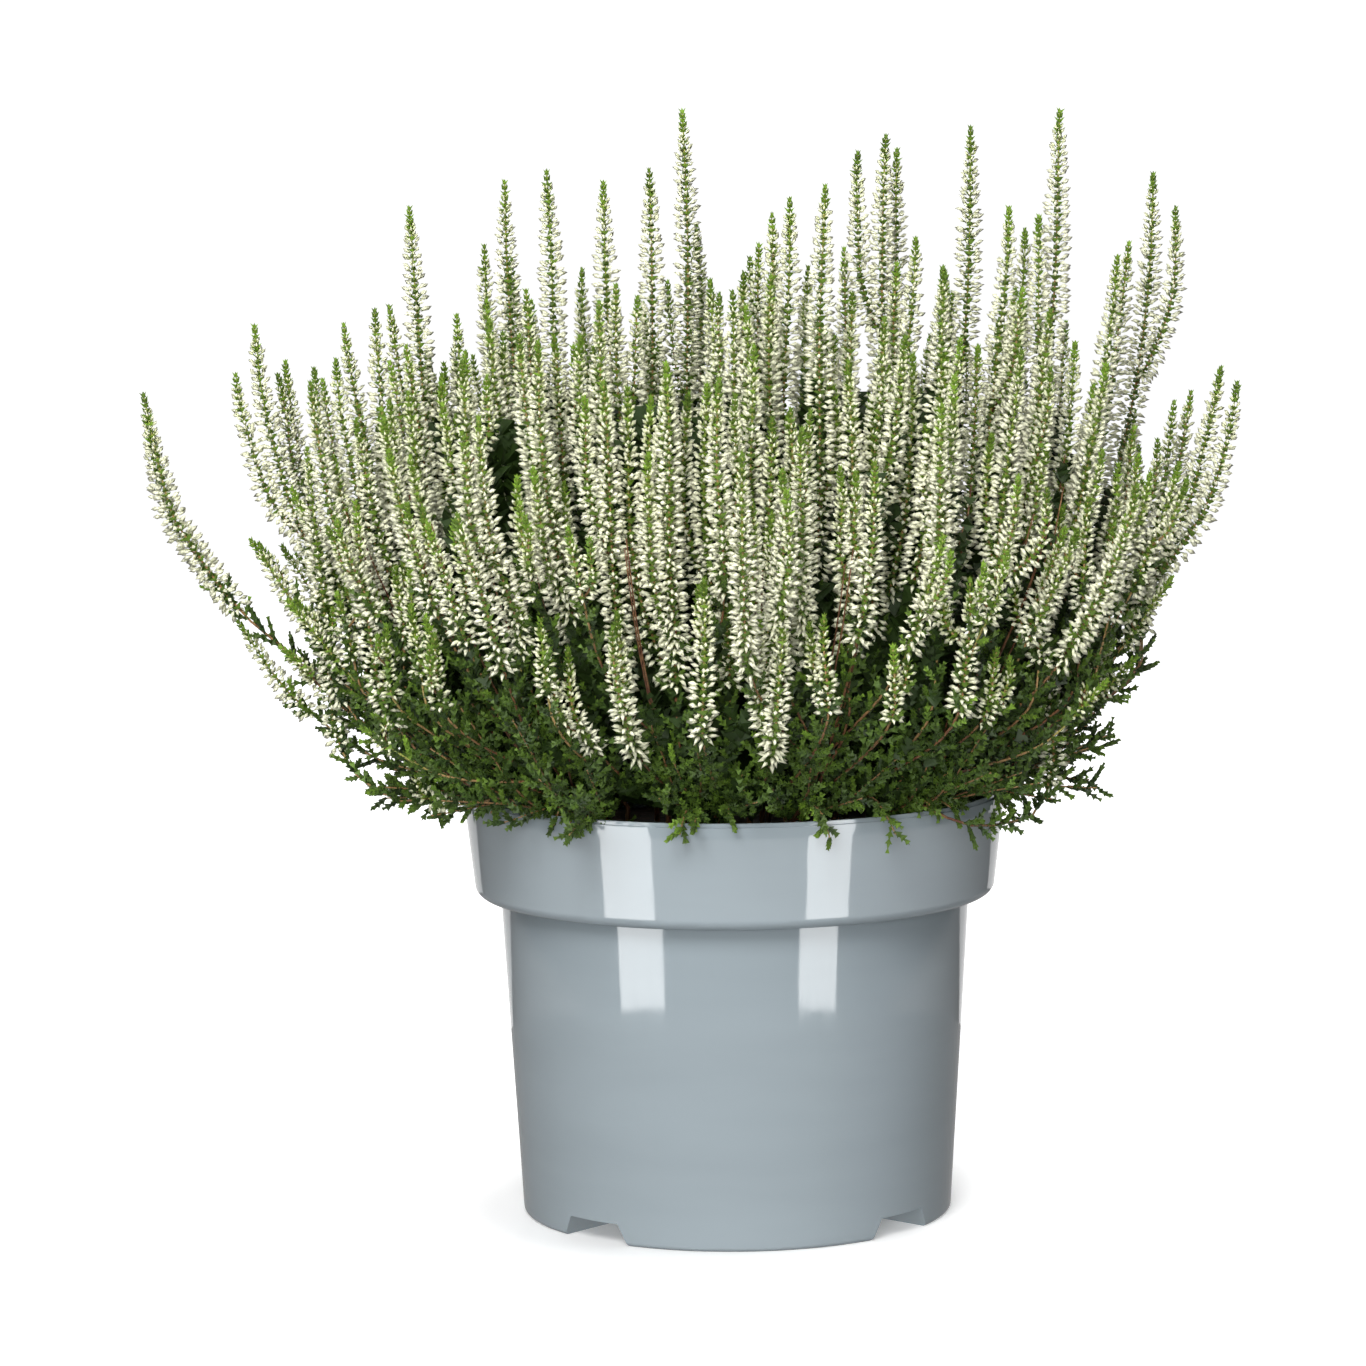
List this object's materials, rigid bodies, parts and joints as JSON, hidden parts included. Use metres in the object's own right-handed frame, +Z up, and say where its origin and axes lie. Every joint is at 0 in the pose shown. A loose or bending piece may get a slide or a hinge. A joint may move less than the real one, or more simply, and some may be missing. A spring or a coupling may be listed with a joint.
{
  "type": "potted heather",
  "caption": "White bud-flowering heather bush in a round grey plastic nursery pot with a deep collar; stands on a floor, shelf or table.",
  "frame": {"origin": "on the surface that the pot stands on, under the middle of the whole plant's box", "axes": "+Z up along the pot's axis, -Y towards the side that the picture shows, +X to the right there"},
  "size_m": [0.4538, 0.406, 0.467],
  "materials": {
    "pot_plastic": "smooth glossy moulded polypropylene, blue-grey",
    "peat": "dark crumbly moist peat",
    "foliage": "dark green scale leaves on reddish brown woody stems",
    "flowers": "creamy white waxy buds with yellow-green bases and bright green growing tips"
  },
  "bodies": {
    "root": {"pot": "pot_plastic", "soil": "peat", "leafy_stem_01": "foliage", "leafy_stem_02": "foliage", "leafy_stem_03": "foliage", "leafy_stem_04": "foliage", "leafy_stem_05": "foliage", "leafy_stem_06": "foliage", "leafy_stem_07": "foliage", "leafy_stem_08": "foliage", "leafy_stem_09": "foliage", "leafy_stem_10": "foliage", "leafy_stem_11": "foliage", "leafy_stem_12": "foliage", "leafy_stem_13": "foliage", "leafy_stem_14": "foliage", "leafy_stem_15": "foliage", "leafy_stem_16": "foliage", "leafy_stem_17": "foliage", "leafy_stem_18": "foliage", "leafy_stem_19": "foliage", "leafy_stem_20": "foliage", "leafy_stem_21": "foliage", "leafy_stem_22": "foliage", "leafy_stem_23": "foliage", "leafy_stem_24": "foliage", "leafy_stem_25": "foliage", "leafy_stem_26": "foliage", "flower_spray_01": "flowers", "flower_spray_02": "flowers", "flower_spray_03": "flowers", "flower_spray_04": "flowers", "flower_spray_05": "flowers", "flower_spray_06": "flowers", "flower_spray_07": "flowers", "flower_spray_08": "flowers", "flower_spray_09": "flowers", "flower_spray_10": "flowers", "flower_spray_11": "flowers", "flower_spray_12": "flowers", "flower_spray_13": "flowers", "flower_spray_14": "flowers", "flower_spray_15": "flowers", "flower_spray_16": "flowers", "flower_spray_17": "flowers", "flower_spray_18": "flowers", "flower_spray_19": "flowers", "flower_spray_20": "flowers", "flower_spray_21": "flowers", "flower_spray_22": "flowers", "flower_spray_23": "flowers", "flower_spray_24": "flowers", "flower_spray_25": "flowers", "flower_spray_26": "flowers"}
  },
  "joints": []
}
